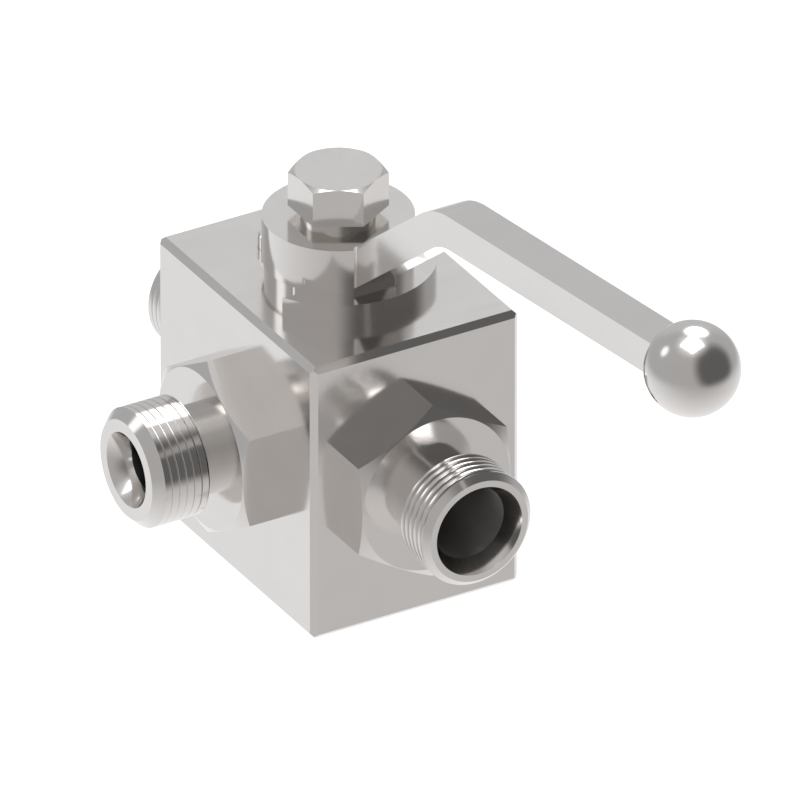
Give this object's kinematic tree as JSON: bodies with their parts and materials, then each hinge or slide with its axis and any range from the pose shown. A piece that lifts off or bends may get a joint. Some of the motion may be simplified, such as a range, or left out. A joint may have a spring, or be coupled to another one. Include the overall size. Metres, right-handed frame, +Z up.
{
  "type": "three-way ball valve",
  "caption": "Block-body ball valve for flow selection, with threaded tube connectors on a through line and one side, turned by a bent lever with a ball knob.",
  "frame": {"origin": "centre of the block's base face", "axes": "+X to the closed side of the block, -Y along the front connector and the lever at rest, +Z up along the stem"},
  "size_m": [0.064, 0.1806, 0.1054],
  "materials": {
    "plated_steel": "bright nickel-tone plated steel, smooth, with soft mirror reflections",
    "machined_steel": "turned steel, fine tool marks",
    "polished_knob": "polished steel ball knob",
    "polished_steel": "hard chromed valve ball",
    "seal_rubber": "black sealing rubber",
    "seat_plastic": "off-white engineering plastic"
  },
  "bodies": {
    "housing": {"body": "plated_steel", "adapter_front": "plated_steel", "adapter_rear": "plated_steel", "adapter_left": "plated_steel", "adapter_seal_front": "seal_rubber", "adapter_seal_rear": "seal_rubber", "adapter_seal_left": "seal_rubber", "seat_front": "seat_plastic", "seat_rear": "seat_plastic", "seat_seal_front": "seal_rubber", "seat_seal_rear": "seal_rubber", "stem_washer": "seat_plastic", "stop_pin": "machined_steel"},
    "handle": {"lever": "plated_steel", "knob": "polished_knob", "screw_washer": "machined_steel", "head_screw": "plated_steel", "stem": "machined_steel", "stem_seal_lower": "seal_rubber", "stem_seal_upper": "seal_rubber", "ball": "polished_steel"}
  },
  "joints": [
    {"name": "handle_turn", "type": "hinge", "parent": "housing", "child": "handle", "pos_m": [0, 0, 0.055], "axis": [0, 0, 1], "range_deg": [-90, 0]}
  ]
}
